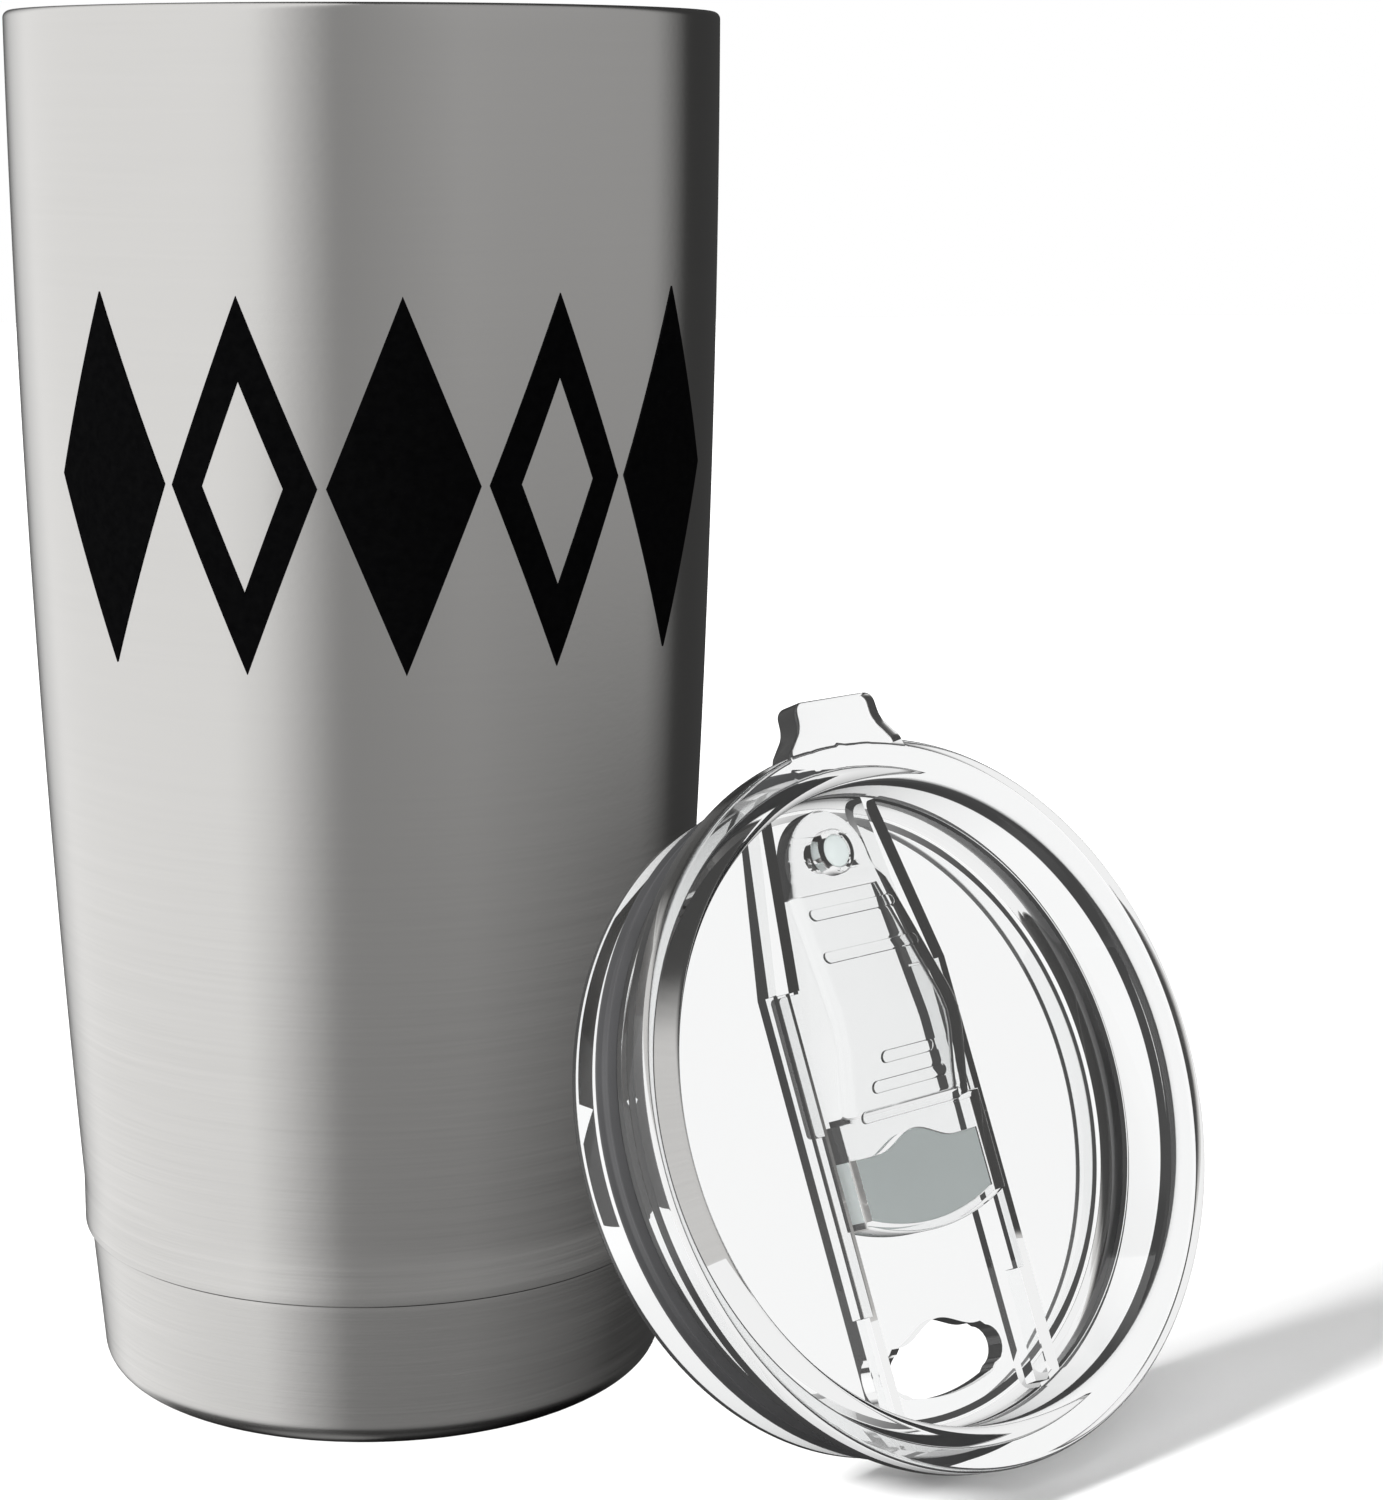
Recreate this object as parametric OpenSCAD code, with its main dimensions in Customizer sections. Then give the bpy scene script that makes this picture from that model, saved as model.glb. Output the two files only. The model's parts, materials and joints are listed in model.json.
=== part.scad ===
// Insulated steel tumbler with its clear slide lid off and leaning against it.
// Millimetres. The origin is the centre of the base, on the table; +Z runs up the tumbler's axis.

/* [Tumbler] */
// Overall height of the steel tumbler
body_h = 175.2; // [150:0.1:215]
// Outside diameter at the mouth, where the wall is widest
body_d = 89; // [74:0.1:107]
// How much narrower the tumbler is at its base seam than at its mouth
wall_taper = 10.5; // [8:0.1:13]
// Height of the seam between the shell and the base cup
seam_z = 19.4; // [16:0.1:24]
// Height of the straight band above the seam, where the end plate is welded in
seam_band_h = 6; // [5.5:0.1:9]
// Sheet thickness of the shell, the liner, the end plate and the base cup
sheet_t = 0.6; // [0.4:0.05:0.8]
// Width of the rim, from its outside edge to the bore of the mouth
rim_w = 2.4; // [2.2:0.1:3]
// Depth of the straight bore below the rim
mouth_depth = 22; // [18:0.5:30]
// Vacuum gap between the shell and the liner below the neck
vacuum_gap = 3; // [2:0.1:4]
// Vacuum gap between the end plate and the liner's floor
floor_gap = 4.6; // [3.5:0.1:6]
// Corner radius at the bottom of the liner
liner_corner_r = 7; // [4:0.5:12]
// Radius of the rolled edge at the rim
rim_edge_r = 0.9; // [0.5:0.1:1.1]

/* [Base] */
// Step in from the shell to the base cup at the seam
base_step = 0.75; // [0.7:0.05:1.2]
// How much narrower the base cup is at its foot than at the seam
base_taper = 2.7; // [1:0.1:6]
// Radius of the rounded foot
foot_r = 3.2; // [2:0.1:5]
// How far the base cup tucks up inside the shell
base_tuck = 3; // [2:0.1:3.5]
// How far the pressed ring in the underside sits in from the rounded foot
base_ring_in = 9.95; // [6:0.05:14]

/* [Print] */
// Height of the printed band of lozenges
print_h = 44; // [30:1:52]
// Height of the band's middle above the table
print_mid_z = 120.5; // [100:0.5:135]
// Width of each lozenge
lozenge_w = 18; // [12:0.5:18.5]
// Gap between the points of neighbouring lozenges
print_gap = 0.98; // [0.5:0.01:3]
// Angle that the middle of the band is turned from the front
print_turn_a = 5; // [-20:1:20]
// Thickness of the ink
ink_t = 0.12; // [0.1:0.01:0.2]

/* [Lid] */
// How far the flange stands out past the tumbler's rim
flange_over = 0.3; // [0:0.05:2]
// Thickness of the flange
flange_t = 4.2; // [3:0.1:6]
// Clearance round the plug in the mouth
plug_clear = 0.5; // [0.3:0.05:0.8]
// Length of the plug below the flange
plug_h = 15.4; // [14:0.1:20]
// Wall of the plug
plug_wall = 2.3; // [1.8:0.1:3]
// Depth of the dish floor below the flange's seat
dish_depth = 8; // [7.5:0.1:9]
// Thickness of the dish floor
dish_t = 2.6; // [2:0.1:3]
// How far the thumb tab stands out past the flange
tab_out = 5.6; // [3:0.1:9]
// Width of the thumb tab at its tip
tab_w = 13.4; // [8:0.1:20]
// Width of the thumb tab at its root
tab_root_w = 18.6; // [14:0.1:26]
// How far the mouth squeezes each lip of the sealing ring
gasket_squeeze = 0.5; // [0.2:0.05:0.8]
// Height of the sealing ring's groove
gasket_h = 3.8; // [3:0.1:4.4]
// Depth of the sealing ring's groove
gasket_groove = 1.5; // [1:0.1:1.6]

/* [Slider] */
// How far the slider travels, from open to shut
slide_travel = 21.8; // [18:0.1:23]
// Width between the rails at their top
channel_w = 24.6; // [20:0.1:28]
// Width of each rail
rail_w = 2.1; // [1.6:0.1:3]
// Height of the rails above the dish floor
rail_h = 3.7; // [3.5:0.1:4.5]
// Running clearance between the slider and its channel
slide_clear = 0.3; // [0.2:0.05:0.5]
// Length of the wings that run in the rails' grooves
wing_l = 17.5; // [12:0.5:20]
// Height of the drinking hole
hole_h = 9.2; // [7:0.1:11]
// From the drinking hole to the dish's wall
hole_edge = 3.9; // [2.5:0.1:6]
// How far the shut pad covers past the ends and the foot of the drinking hole
pad_over = 0.7; // [0.4:0.05:1]
// From the slider's round end to the dish's wall
end_clear = 1.4; // [1:0.1:3]

/* [Placing] */
// How far the leaning lid's face points up from level
lid_tilt = 23.7; // [15:0.1:35]
// Turn of the leaning lid about the vertical
lid_turn = 35.1; // [20:0.1:50]
// Direction from the tumbler's axis to where the lid touches it
touch_a = -41.6; // [-60:0.1:-30]
// How far the lid is shifted along the tumbler's wall from there
lid_shift = 14.2; // [5:0.1:20]
// Gap left between the lid and the tumbler's wall
lean_gap = 0.6; // [0.4:0.1:2]

/* [Hidden] */
$fn = 96;
eps = 0.01;

// Radii of the tumbler
body_r = body_d / 2;
seam_r = body_r - wall_taper / 2;
mouth_r = body_r - rim_w;
shell_bore_r = seam_r - sheet_t;
band_top_z = seam_z + seam_band_h;
rim_split_r = body_r - rim_w / 2;
neck_z = body_h - mouth_depth;
neck_cone_h = 8;
wall_steps = 24;
curve_steps = 6;
wall_step_h = (body_h - rim_edge_r - band_top_z) / wall_steps;

// Inside the base
plate_top_z = band_top_z - sheet_t;
cup_floor_z = plate_top_z + floor_gap + sheet_t;
plate_flange_h = 1.6;
dimple_r = 4;
dimple_h = 1;
port_r = 0.9;
getter_r = 5;
getter_h = 1.4;
clip_t = 0.4;
clip_w = 4;
clip_foot = 3;
clip_slack = 0.1;
clip_reach = getter_r + clip_slack + clip_t + clip_foot;
getter_x = dimple_r + sheet_t + 0.5 + clip_reach;
foil_t = 0.12;
foil_low_z = cup_floor_z + liner_corner_r + 2;
foil_high_z = neck_z - neck_cone_h - 4;
base_top_r = seam_r - base_step;
base_foot_r = base_top_r - base_taper / 2;
base_ring_r = base_foot_r - foot_r - base_ring_in;
base_ring_w = 1.6;
base_ring_depth = 0.3;

// The lid, in its own frame: +Z out of its top, z = 0 on the seat, +Y towards the thumb tab
flange_r = body_r + flange_over;
plug_r = mouth_r - plug_clear;
dish_r = plug_r - plug_wall;
edge_r = 0.7;
dish_edge_r = 1.4;
dish_corner_r = 1.6;
gasket_mid_z = -7.8;
gasket_low_z = gasket_mid_z - gasket_h / 2;
gasket_bore_r = plug_r - gasket_groove;
gasket_r = mouth_r + gasket_squeeze;
lip_h = 0.9;
tab_edge_r = 1.5;

// The channel and the slider
floor_z = -dish_depth;
ledge_z = floor_z + 1.2;
groove_top_z = floor_z + 2.7;
rail_top_z = floor_z + rail_h;
channel_r = channel_w / 2;
rail_r = channel_r + rail_w;
ledge_r = channel_r - 1.7;
groove_r = channel_r + 1.5;
hole_low_y = hole_edge - dish_r;
hole_high_y = hole_low_y + hole_h;
hole_lap = 1.5;
pad_high_y = hole_high_y + hole_lap + slide_travel;
pad_low_y = hole_low_y - pad_over + slide_travel;
wing_low_y = pad_high_y + 1.7;
wing_high_y = wing_low_y + wing_l;
groove_high_y = wing_high_y + slide_clear;
groove_low_y = wing_low_y - slide_travel - slide_clear;
holder_r = channel_r - slide_clear;
wing_r = groove_r - slide_clear;
slider_low_z = ledge_z + slide_clear;
wing_top_z = groove_top_z - slide_clear;
holder_top_z = rail_top_z + 2.1;
end_r = 7;
end_y = dish_r - end_clear - end_r;
boss_y = end_y + 1.4;
slope_high_y = end_y - 1.9;
crest_y = wing_low_y + 0.371 * (slope_high_y - wing_low_y);
crest_z = rail_top_z + 5.2;
crest_r = ledge_r - 0.1;
deck_z = rail_top_z;
slope_high_z = deck_z + 0.4;
rail_end_r = end_r + 2.7;
ledge_end_r = end_r + 0.6;
shoulder_in = 2.1;
boss_r = 2.9;
boss_top_z = deck_z + 1.65;
plug_bore_r = 2.15;
slider_wall = 1.5;
holder_low_y = pad_low_y - 1.2;
holder_bulge = 2.5;
pad_r = ledge_r - slide_clear;
pad_low_z = floor_z + 0.2;
pad_top_z = holder_top_z - 1;
wave_h = 2;
wave_r = 6.5;
wave_steps = 12;
hole_r = pad_r - pad_over;
hole_corner_r = 2.8;
hole_side_in = 0.6;
hole_bow_r = 26;
rib_w = 1.5;
rib_out = 0.35;
// Ribs across the thumb grip: how far up its slope each one is, and how far in from the grip's side
upper_ribs = [[0.79, 3.4], [0.5, 2.6]];
lower_ribs = [[0.66, 6.1], [0.366, 4.2], [0.08, 2]];
ribs = concat(
    [for (rib = upper_ribs) [crest_y + rib[0] * (slope_high_y - crest_y), crest_r - rib[1]]],
    [for (rib = lower_ribs) [wing_low_y + rib[0] * (crest_y - wing_low_y), crest_r - rib[1]]]);

// Unit vectors of the leaning lid: its face, its level edge, and up its slope
face_a = lid_turn - 90;
lid_face = [cos(lid_tilt) * cos(face_a), cos(lid_tilt) * sin(face_a), sin(lid_tilt)];
lid_side = [-sin(face_a), cos(face_a), 0];
lid_up = cross(lid_face, lid_side);
// Unit vectors out of the tumbler's wall where the lid touches it, and along the wall
wall_out = [cos(touch_a), sin(touch_a), 0];
wall_along = [-sin(touch_a), cos(touch_a), 0];
lean_reach = plug_r * sqrt(pow(wall_out * lid_side, 2) + pow(wall_out * lid_up, 2));
lid_z = plug_r * cos(lid_tilt) + plug_h * sin(lid_tilt);
touch_z = lid_z + plug_r * cos(lid_tilt) * 0.85;
lid_out = wall_r(touch_z) + lean_gap + lean_reach + plug_h * (lid_face * wall_out);
lid_place = lid_out * wall_out + lid_shift * wall_along + [0, 0, lid_z];

steel = [0.72, 0.71, 0.7];
clear = [0.9, 0.92, 0.93, 0.4];
grey_soft = [0.7, 0.73, 0.73];

// Outside radius of the shell at height z: a shallow barrel curve, straight below the band's top
function wall_r(z) =
    body_r - (body_r - seam_r) * pow(min(1, max(0, (body_h - z) / (body_h - band_top_z))), 2);

// Heights that share out the span from low to high in even steps
function heights(low, high, steps) = [for (i = [0:steps]) low + (high - low) * i / steps];

// Points of an arc about (x, z) from angle a to angle b
function arc(x, z, r, a, b) =
    [for (i = [0:curve_steps]) [x, z] + r * [cos(a + (b - a) * i / curve_steps),
                                             sin(a + (b - a) * i / curve_steps)]];

// Inside radius of the liner's cup below the neck
function cup_r(z) = wall_r(z) - 2 * sheet_t - vacuum_gap;

// Height of the slider's top along its length, on the two slopes of the thumb grip
function grip_z(y) = y > crest_y
    ? crest_z + (slope_high_z - crest_z) * (y - crest_y) / (slope_high_y - crest_y)
    : crest_z + (holder_top_z - crest_z) * (crest_y - y) / (crest_y - wing_low_y);

// Top edge of the pad and of the drinking hole: level with a smooth swell in the middle
function wave(high_y, half) =
    [for (i = [-wave_steps:wave_steps])
        let (x = half * i / wave_steps)
        [x, high_y - (abs(x) < wave_r ? wave_h * (1 - cos(180 * x / wave_r)) / 2 : wave_h)]];

module revolve(points) {
    rotate_extrude() polygon(points);
}

module outer_shell() {
    zs = heights(band_top_z, body_h - rim_edge_r, wall_steps);
    outside = [for (z = zs) [wall_r(z), z]];
    inside = [for (i = [0:wall_steps]) [wall_r(zs[wall_steps - i]) - sheet_t, zs[wall_steps - i]]];
    rim = arc(body_r - rim_edge_r, body_h - rim_edge_r, rim_edge_r, 0, 90);
    color(steel)
        revolve(concat([[shell_bore_r, seam_z], [seam_r - 0.2, seam_z], [seam_r, seam_z + 0.2]],
                       outside, rim,
                       [[rim_split_r, body_h], [rim_split_r, body_h - sheet_t],
                        [body_r - rim_edge_r, body_h - sheet_t]],
                       inside));
}

module inner_liner() {
    zs = heights(cup_floor_z + liner_corner_r, neck_z - neck_cone_h, wall_steps);
    inside = [for (z = zs) [cup_r(z), z]];
    outside = [for (i = [0:wall_steps]) [cup_r(zs[wall_steps - i]) + sheet_t, zs[wall_steps - i]]];
    corner_x = cup_r(cup_floor_z + liner_corner_r) - liner_corner_r;
    corner_z = cup_floor_z + liner_corner_r;
    color(steel)
        revolve(concat([[0, cup_floor_z]],
                       arc(corner_x, corner_z, liner_corner_r, -90, 0), inside,
                       [[mouth_r, neck_z], [mouth_r, body_h - 0.4], [mouth_r + 0.4, body_h],
                        [rim_split_r, body_h], [rim_split_r, body_h - sheet_t],
                        [mouth_r + sheet_t, body_h - sheet_t], [mouth_r + sheet_t, neck_z]],
                       outside,
                       arc(corner_x, corner_z, liner_corner_r + sheet_t, 0, -90),
                       [[0, cup_floor_z - sheet_t]]));
}

module base_cup() {
    tuck_z = seam_z + base_tuck;
    color(steel) difference() {
        revolve(concat([[0, 0]], arc(base_foot_r - foot_r, foot_r, foot_r, -90, 0),
                       [[base_top_r, seam_z], [base_top_r, seam_z + 0.3], [shell_bore_r, seam_z + 0.8],
                        [shell_bore_r, tuck_z], [shell_bore_r - sheet_t, tuck_z],
                        [shell_bore_r - sheet_t, seam_z + 0.8], [base_top_r - sheet_t, seam_z]],
                       arc(base_foot_r - foot_r, foot_r, foot_r - sheet_t, 0, -90), [[0, sheet_t]]));
        rotate_extrude()
            translate([base_ring_r, -eps])
                square([base_ring_w, base_ring_depth + eps]);
    }
}

module vacuum_end_plate() {
    color(steel) difference() {
        union() {
            revolve([[0, plate_top_z - sheet_t], [shell_bore_r - sheet_t, plate_top_z - sheet_t],
                     [shell_bore_r - sheet_t, plate_top_z - plate_flange_h],
                     [shell_bore_r, plate_top_z - plate_flange_h], [shell_bore_r, plate_top_z],
                     [0, plate_top_z]]);
            translate([0, 0, plate_top_z - eps])
                cylinder(r = dimple_r + sheet_t, h = dimple_h + eps);
        }
        translate([0, 0, plate_top_z - sheet_t - eps])
            cylinder(r = dimple_r, h = dimple_h + eps);
        translate([0, 0, plate_top_z - sheet_t])
            cylinder(r = port_r, h = dimple_h + 2 * sheet_t);
    }
}

module vacuum_seal() {
    color("dimgray")
        translate([0, 0, plate_top_z - sheet_t])
            cylinder(r = dimple_r, h = dimple_h);
}

module getter() {
    color("gray")
        translate([getter_x, 0, plate_top_z])
            cylinder(r = getter_r, h = getter_h);
}

// A strap over the getter, welded to the end plate at both feet
module getter_clip() {
    inner = getter_r + clip_slack;
    reach = inner + clip_t;
    color(steel)
        translate([getter_x, clip_w / 2, plate_top_z])
            rotate([90, 0, 0])
                linear_extrude(clip_w)
                    polygon([[-clip_reach, 0], [-inner, 0], [-inner, getter_h], [inner, getter_h],
                             [inner, 0], [clip_reach, 0], [clip_reach, clip_t], [reach, clip_t],
                             [reach, getter_h + clip_t], [-reach, getter_h + clip_t],
                             [-reach, clip_t], [-clip_reach, clip_t]]);
}

module reflective_foil() {
    zs = heights(foil_low_z, foil_high_z, wall_steps);
    inside = [for (z = zs) [cup_r(z) + sheet_t + eps * 5, z]];
    outside = [for (i = [0:wall_steps]) inside[wall_steps - i] + [foil_t, 0]];
    color("peru") revolve(concat(inside, outside));
}

module lozenge(w, h) {
    polygon([[-w / 2, 0], [0, -h / 2], [w / 2, 0], [0, h / 2]]);
}

// Five lozenges in a row round the front, open ones between filled ones
module printed_pattern() {
    zs = [for (z = heights(band_top_z, body_h - rim_edge_r, wall_steps))
              if (abs(z - print_mid_z) < print_h / 2 + wall_step_h) z];
    n = len(zs) - 1;
    open_share = 0.56;
    mid_r = wall_r(print_mid_z);
    step_a = 2 * asin(lozenge_w / 2 / mid_r) + print_gap / mid_r * 180 / PI;
    color("black") intersection() {
        revolve(concat([for (z = zs) [wall_r(z), z]],
                       [for (i = [0:n]) [wall_r(zs[n - i]) + ink_t, zs[n - i]]]));
        for (i = [-2:2])
            rotate([0, 0, print_turn_a + i * step_a])
                translate([0, 0, print_mid_z])
                    rotate([90, 0, 0])
                        linear_extrude(body_r + 5)
                            difference() {
                                lozenge(lozenge_w, print_h);
                                if (abs(i) == 1)
                                    lozenge(lozenge_w * open_share, print_h * open_share);
                            }
    }
}

module on_the_lid() {
    translate(lid_place) rotate([90 - lid_tilt, 0, lid_turn]) children();
}

// The flange, the plug and the dish floor in one turned shape
module lid_bowl() {
    plug_low_z = -plug_h;
    floor_low_z = floor_z - dish_t;
    revolve(concat(
        [[0, floor_low_z], [dish_r - dish_corner_r, floor_low_z], [dish_r, floor_low_z - dish_corner_r],
         [dish_r, plug_low_z], [plug_r - edge_r, plug_low_z], [plug_r, plug_low_z + edge_r],
         [plug_r, gasket_low_z], [gasket_bore_r, gasket_low_z],
         [gasket_bore_r, gasket_low_z + gasket_h], [plug_r, gasket_low_z + gasket_h],
         [plug_r, 0]],
        arc(flange_r - edge_r, edge_r, edge_r, -90, 0),
        arc(flange_r - edge_r, flange_t - edge_r, edge_r, 0, 90),
        arc(dish_r + dish_edge_r, flange_t - dish_edge_r, dish_edge_r, 90, 180),
        arc(dish_r - dish_corner_r, floor_z + dish_corner_r, dish_corner_r, 0, -90),
        [[0, floor_z]]));
}

// Outline of the thumb tab, flaring into the flange
module tab_outline() {
    root_y = flange_r - 3;
    tip_y = flange_r + tab_out;
    polygon(concat(
        [[-tab_root_w / 2 - 1, root_y], [tab_root_w / 2 + 1, root_y],
         [tab_root_w / 2, flange_r - 0.4]],
        arc(tab_w / 2 - tab_edge_r, tip_y - tab_edge_r, tab_edge_r, 15, 90),
        arc(-tab_w / 2 + tab_edge_r, tip_y - tab_edge_r, tab_edge_r, 90, 165),
        [[-tab_root_w / 2, flange_r - 0.4]]));
}

// Outline of the channel, straight below and drawn in where the slider's end narrows
module channel_outline(r, end_half) {
    high = dish_r + 1;
    polygon([[-r, -high], [r, -high], [r, groove_high_y], [end_half, high], [-end_half, high],
             [-r, groove_high_y]]);
}

module channel_rails() {
    intersection() {
        translate([0, 0, floor_z - 1]) cylinder(r = dish_r + 1, h = rail_h + 1);
        difference() {
            translate([0, 0, floor_z - 1])
                linear_extrude(rail_h + 1) channel_outline(rail_r, rail_end_r);
            translate([0, 0, floor_z])
                linear_extrude(rail_h + 1) channel_outline(ledge_r, ledge_end_r);
            translate([0, 0, ledge_z])
                linear_extrude(rail_h + 1)
                    translate([-channel_r, -dish_r - 2])
                        square([channel_w, dish_r + 2 + groove_high_y]);
            translate([-groove_r, groove_low_y, ledge_z])
                cube([2 * groove_r, groove_high_y - groove_low_y, groove_top_z - ledge_z]);
        }
    }
}

module hole_outline() {
    corner_x = hole_r - hole_corner_r;
    corner_y = hole_low_y + hole_corner_r + hole_side_in;
    intersection() {
        polygon(concat(wave(hole_high_y, hole_r), [[hole_r, hole_low_y], [-hole_r, hole_low_y]]));
        union() {
            translate([-corner_x, hole_low_y]) square([2 * corner_x, hole_h]);
            for (side = [-1, 1])
                translate([side * corner_x, corner_y]) circle(r = hole_corner_r);
            translate([-hole_r, corner_y])
                square([2 * hole_r, hole_high_y - hole_corner_r - hole_side_in - corner_y]);
        }
        translate([0, hole_low_y + hole_bow_r]) circle(r = hole_bow_r);
    }
}

module lid_body() {
    color(clear) on_the_lid() difference() {
        union() {
            lid_bowl();
            translate([0, 0, edge_r / 2]) linear_extrude(flange_t - edge_r / 2) tab_outline();
            channel_rails();
        }
        translate([0, 0, floor_z - dish_t - 1]) linear_extrude(dish_t + 1.5) hole_outline();
    }
}

module lid_gasket() {
    low_z = gasket_low_z;
    high_z = gasket_low_z + gasket_h;
    waist_r = plug_r + 0.3;
    color([0.2, 0.2, 0.2]) on_the_lid()
        revolve([[gasket_bore_r, low_z], [plug_r, low_z], [gasket_r, low_z + lip_h * 0.7],
                 [gasket_r, low_z + lip_h], [waist_r, low_z + 1.5 * lip_h],
                 [waist_r, high_z - 1.5 * lip_h], [gasket_r, high_z - lip_h],
                 [gasket_r, high_z - lip_h * 0.7], [plug_r, high_z], [gasket_bore_r, high_z]]);
}

// Outline of the slider's grip: wide at the crest, narrowing to a round end
module grip_outline(inset) {
    r = crest_r - inset;
    polygon([[-r, wing_low_y + inset], [r, wing_low_y + inset], [r, crest_y],
             [r - shoulder_in, slope_high_y - 1], [end_r - inset, end_y], [inset - end_r, end_y],
             [shoulder_in - r, slope_high_y - 1],
             [-r, crest_y]]);
    translate([0, end_y]) circle(r = end_r - inset);
}

module holder_outline() {
    bulge_r = (holder_r * holder_r + holder_bulge * holder_bulge) / (2 * holder_bulge);
    intersection() {
        translate([-holder_r, holder_low_y]) square([2 * holder_r, wing_low_y - holder_low_y + 1]);
        translate([0, holder_low_y + bulge_r]) circle(r = bulge_r);
    }
}

module pad_outline() {
    bulge = 2;
    bulge_r = (pad_r * pad_r + bulge * bulge) / (2 * bulge);
    intersection() {
        polygon(concat(wave(pad_high_y, pad_r), [[pad_r, pad_low_y], [-pad_r, pad_low_y]]));
        translate([0, pad_low_y + bulge_r]) circle(r = bulge_r);
    }
}

// Side view of the grip, from its lower foot over the crest and down to the end deck
module grip_profile(drop) {
    polygon([[wing_low_y - 1, slider_low_z - drop], [end_y + end_r + 1, slider_low_z - drop],
             [end_y + end_r + 1, deck_z - drop], [slope_high_y + 1, deck_z - drop],
             [slope_high_y, slope_high_z - drop], [crest_y, crest_z - drop],
             [wing_low_y, holder_top_z - drop], [wing_low_y - 1, holder_top_z - drop]]);
}

// The grip's side view carried across the slider
module across_grip(drop) {
    rotate([90, 0, 90]) translate([0, 0, -channel_w]) linear_extrude(2 * channel_w) grip_profile(drop);
}

module slider() {
    color(clear) on_the_lid() difference() {
        union() {
            intersection() {
                translate([0, 0, slider_low_z]) linear_extrude(crest_z + 20) grip_outline(0);
                across_grip(0);
            }
            translate([0, 0, slider_low_z])
                linear_extrude(holder_top_z - slider_low_z) holder_outline();
            translate([-wing_r, wing_low_y, slider_low_z])
                cube([2 * wing_r, wing_l, wing_top_z - slider_low_z]);
            translate([0, boss_y, slider_low_z]) cylinder(r = boss_r, h = boss_top_z - slider_low_z);
            for (rib = ribs)
                translate([0, rib[0], grip_z(rib[0]) - 1])
                    linear_extrude(1 + rib_out) rib_outline(rib[1]);
        }
        intersection() {
            translate([0, 0, slider_low_z - 1]) linear_extrude(crest_z + 20) grip_outline(slider_wall);
            across_grip(slider_wall);
            translate([-channel_w, wing_low_y + slider_wall, slider_low_z - 5])
                cube([2 * channel_w, slope_high_y - wing_low_y - 2 * slider_wall, 20]);
        }
        translate([0, 0, slider_low_z - 1])
            linear_extrude(pad_top_z - slider_low_z + 1) pad_outline();
        translate([0, boss_y, slider_low_z - 1]) cylinder(r = plug_bore_r, h = 20);
    }
}

module rib_outline(half) {
    translate([-half + rib_w / 2, -rib_w / 2]) square([2 * half - rib_w, rib_w]);
    for (side = [-1, 1])
        translate([side * (half - rib_w / 2), 0]) circle(r = rib_w / 2);
}

module slider_seal() {
    color(grey_soft) on_the_lid()
        translate([0, 0, pad_low_z]) linear_extrude(pad_top_z - pad_low_z) pad_outline();
}

module slider_plug() {
    color(grey_soft) on_the_lid()
        translate([0, boss_y, slider_low_z - 0.5])
            cylinder(r = plug_bore_r, h = boss_top_z - slider_low_z + 0.4);
}

outer_shell();
inner_liner();
base_cup();
vacuum_end_plate();
vacuum_seal();
getter();
getter_clip();
reflective_foil();
printed_pattern();
lid_body();
lid_gasket();
slider();
slider_seal();
slider_plug();
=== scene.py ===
"""A double-wall steel tumbler with its clear slide lid off and leaning against it.

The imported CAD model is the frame. Each visible piece is built again here as a smooth surface, in metres, in the
frame's own axes: +Z up the tumbler's axis, -Y towards its printed front. The lid and its slider are shaped in the
lid's own axes, in millimetres, and put in place at the end.
"""

import json
import logging
import math
from dataclasses import dataclass, field
from enum import Enum
from functools import cache
from typing import Any, Callable, Sequence

import bmesh
import bpy
import numpy as np
from mathutils import Matrix, Vector

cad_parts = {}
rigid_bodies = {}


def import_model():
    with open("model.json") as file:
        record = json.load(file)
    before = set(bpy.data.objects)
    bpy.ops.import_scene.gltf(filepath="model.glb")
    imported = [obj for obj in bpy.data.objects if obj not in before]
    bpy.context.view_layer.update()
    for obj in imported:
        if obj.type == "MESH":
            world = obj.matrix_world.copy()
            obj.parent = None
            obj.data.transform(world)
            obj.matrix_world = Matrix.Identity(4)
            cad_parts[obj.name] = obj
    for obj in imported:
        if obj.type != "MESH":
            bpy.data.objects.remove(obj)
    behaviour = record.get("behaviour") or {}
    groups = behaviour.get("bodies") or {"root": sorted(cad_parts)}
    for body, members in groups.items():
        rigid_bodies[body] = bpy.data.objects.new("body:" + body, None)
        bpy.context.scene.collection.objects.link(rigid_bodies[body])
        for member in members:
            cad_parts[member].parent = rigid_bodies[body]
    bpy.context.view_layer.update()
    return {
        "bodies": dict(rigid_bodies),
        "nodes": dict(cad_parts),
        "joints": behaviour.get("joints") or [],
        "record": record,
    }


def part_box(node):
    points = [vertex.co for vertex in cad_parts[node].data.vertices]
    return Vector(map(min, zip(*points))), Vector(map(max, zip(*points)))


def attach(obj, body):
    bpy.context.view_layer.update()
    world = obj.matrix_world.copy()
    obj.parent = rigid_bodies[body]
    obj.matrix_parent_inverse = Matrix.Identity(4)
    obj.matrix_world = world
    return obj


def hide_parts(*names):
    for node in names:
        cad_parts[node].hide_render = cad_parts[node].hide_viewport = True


Array = np.ndarray
MM = 0.001
TURN_STEPS = 240
ARC_STEPS = 8
STEEL_BODY = "tumbler"
RING_DEPTH = 7.8
MERGE_DISTANCE = 2e-7
SLIVER_EDGE = 1e-7
TINY = 1e-9
WHITE = (1, 1, 1, 1)

log = logging.getLogger("tumbler")


# --------------------------------------
# Outlines and surfaces
# --------------------------------------


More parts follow.
